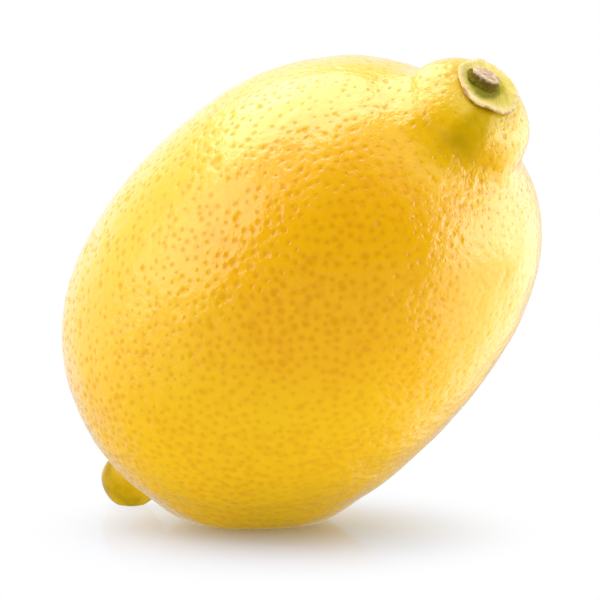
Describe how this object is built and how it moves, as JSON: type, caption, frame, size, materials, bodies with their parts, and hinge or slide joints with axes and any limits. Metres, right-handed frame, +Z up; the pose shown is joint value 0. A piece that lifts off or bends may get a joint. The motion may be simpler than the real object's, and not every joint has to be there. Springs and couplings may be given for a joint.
{
  "type": "lemon",
  "caption": "Whole picked lemon lying on its belly and nipple, with a raised collar, dry calyx and cut stem stub at the upper end.",
  "frame": {"origin": "on the surface that the lemon lies on, under the middle of its box", "axes": "+Z up from the flat spot on the belly, +X towards the stem end, +Y across the fruit, its narrowest way"},
  "size_m": [0.079, 0.062, 0.073],
  "materials": {
    "peel": "satin",
    "calyx": "satin",
    "stem": "matte"
  },
  "bodies": {
    "root": {"fruit": "peel", "calyx": "calyx", "stem_stub": "stem"}
  },
  "joints": []
}
